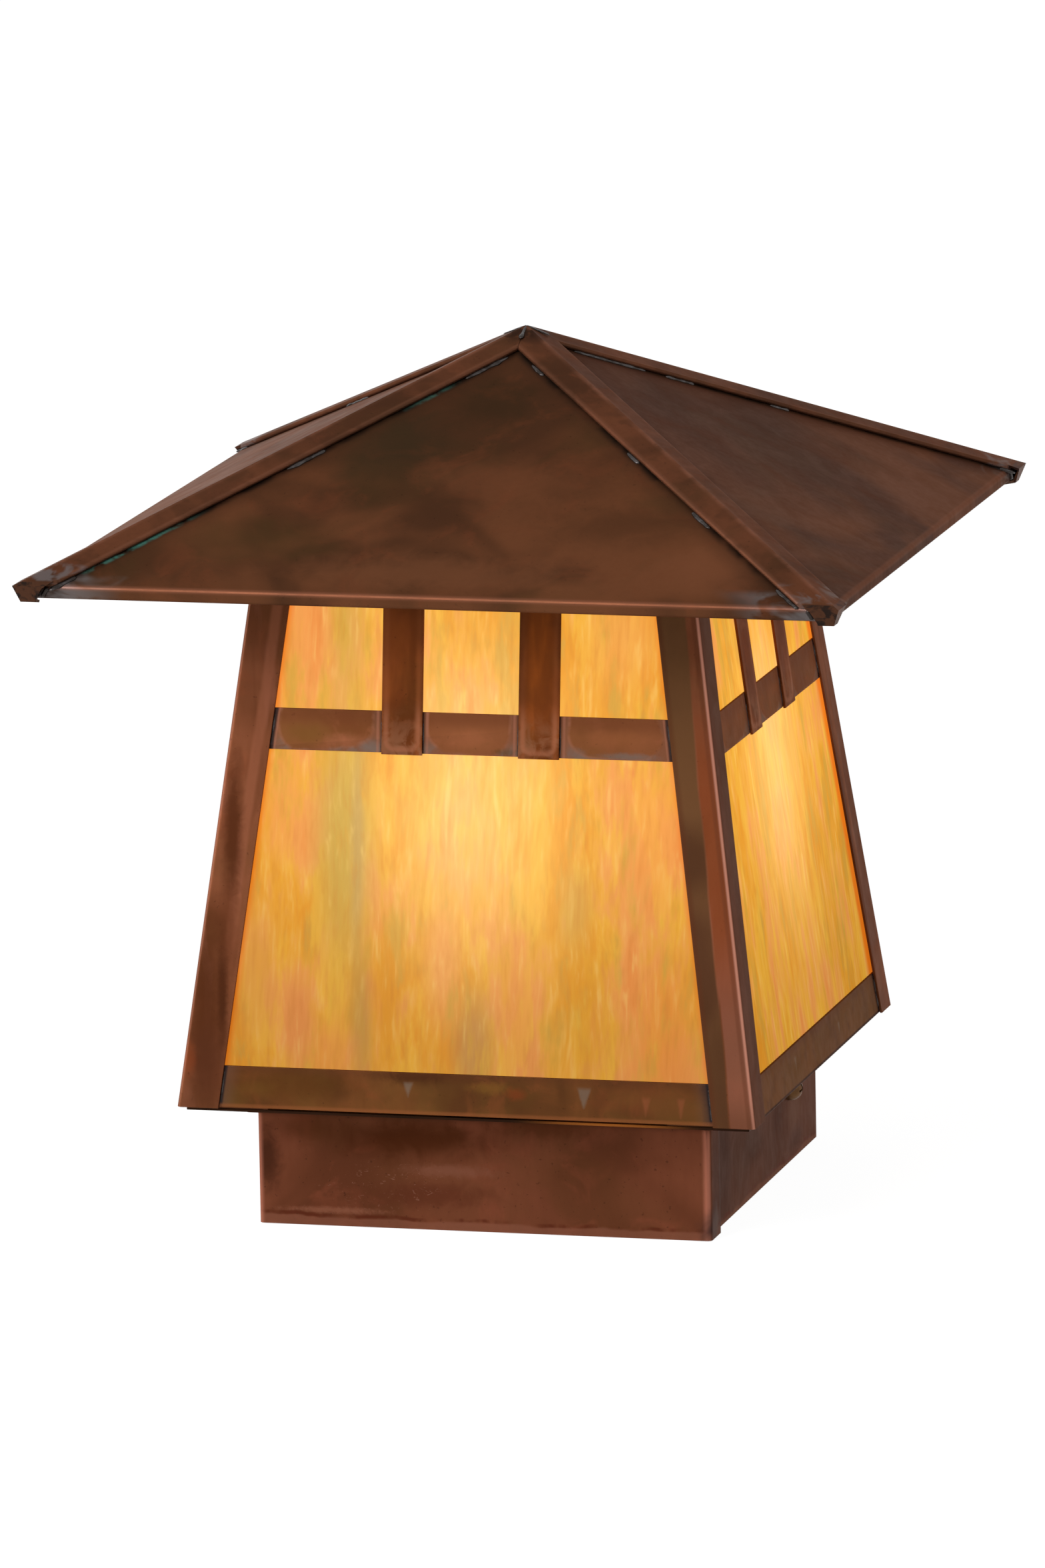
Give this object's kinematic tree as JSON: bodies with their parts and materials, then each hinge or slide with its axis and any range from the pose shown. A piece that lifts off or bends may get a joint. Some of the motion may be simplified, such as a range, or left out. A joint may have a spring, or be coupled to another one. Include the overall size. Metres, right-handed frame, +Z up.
{
  "type": "deck post cap light",
  "caption": "Flared copper lantern with art-glass sides and a hipped roof, standing on a square collar that slips over a timber deck post.",
  "frame": {"origin": "centre of the collar's bottom edge, on the post's axis", "axes": "+Z up along the post, -Y out of the front, +X towards the collar's lapped right wall"},
  "size_m": [0.26, 0.26, 0.2735],
  "materials": {
    "roof_copper": "dark brown aged copper sheet, mottled, satin",
    "frame_copper": "warm brown aged copper strip, satin",
    "base_copper": "reddish brown aged copper sheet, satin",
    "art_glass": "amber and orange streaked art glass, translucent",
    "lamp_brass": "plain rolled brass",
    "zinc_steel": "zinc-plated steel",
    "porcelain": "white porcelain",
    "black_rubber": "matte black rubber",
    "earth_green": "green painted steel",
    "frosted_bulb": "inside-frosted bulb glass, lit"
  },
  "bodies": {
    "base": {"collar": "base_copper", "base_plate": "base_copper", "locating_clips": "base_copper", "socket_bracket": "zinc_steel", "bracket_rivets": "zinc_steel", "socket_body": "porcelain", "socket_shell": "lamp_brass", "socket_contact": "lamp_brass", "socket_screws": "zinc_steel", "wire_grommet": "black_rubber", "earth_screw": "earth_green"},
    "lantern": {"roof_panel_front": "roof_copper", "roof_panel_right": "roof_copper", "roof_panel_back": "roof_copper", "roof_panel_left": "roof_copper", "hip_cap_front_right": "roof_copper", "hip_cap_back_right": "roof_copper", "hip_cap_back_left": "roof_copper", "hip_cap_front_left": "roof_copper", "corner_post_front_right": "frame_copper", "corner_post_back_right": "frame_copper", "corner_post_back_left": "frame_copper", "corner_post_front_left": "frame_copper", "bottom_rail_front": "frame_copper", "bottom_rail_right": "frame_copper", "bottom_rail_back": "frame_copper", "bottom_rail_left": "frame_copper", "mid_rail_front": "frame_copper", "mid_rail_right": "frame_copper", "mid_rail_back": "frame_copper", "mid_rail_left": "frame_copper", "top_rail_front": "frame_copper", "top_rail_right": "frame_copper", "top_rail_back": "frame_copper", "top_rail_left": "frame_copper", "muntin_front_left": "frame_copper", "muntin_front_right": "frame_copper", "muntin_right_front": "frame_copper", "muntin_right_back": "frame_copper", "muntin_back_right": "frame_copper", "muntin_back_left": "frame_copper", "muntin_left_back": "frame_copper", "muntin_left_front": "frame_copper", "glass_pane_front": "art_glass", "glass_pane_right": "art_glass", "glass_pane_back": "art_glass", "glass_pane_left": "art_glass", "glass_tabs_front": "frame_copper", "glass_tabs_right": "frame_copper", "glass_tabs_back": "frame_copper", "glass_tabs_left": "frame_copper", "corner_gussets": "frame_copper"},
    "bulb": {"bulb_glass": "frosted_bulb", "bulb_cap": "lamp_brass"},
    "screw_right": {"post_screw_right": "base_copper"},
    "screw_left": {"post_screw_left": "base_copper"}
  },
  "joints": [
    {"name": "lantern_lift", "type": "slide", "parent": "base", "child": "lantern", "axis": [0, 0, 1], "range_m": [0, 0.105]},
    {"name": "bulb_unscrew", "type": "slide", "parent": "base", "child": "bulb", "axis": [0, 0, 1], "range_m": [0, 0.026]},
    {"name": "post_screw_right_draw", "type": "slide", "parent": "base", "child": "screw_right", "axis": [1, 0, 0], "range_m": [0, 0.022]},
    {"name": "post_screw_left_draw", "type": "slide", "parent": "base", "child": "screw_left", "axis": [-1, 0, 0], "range_m": [0, 0.022]}
  ]
}
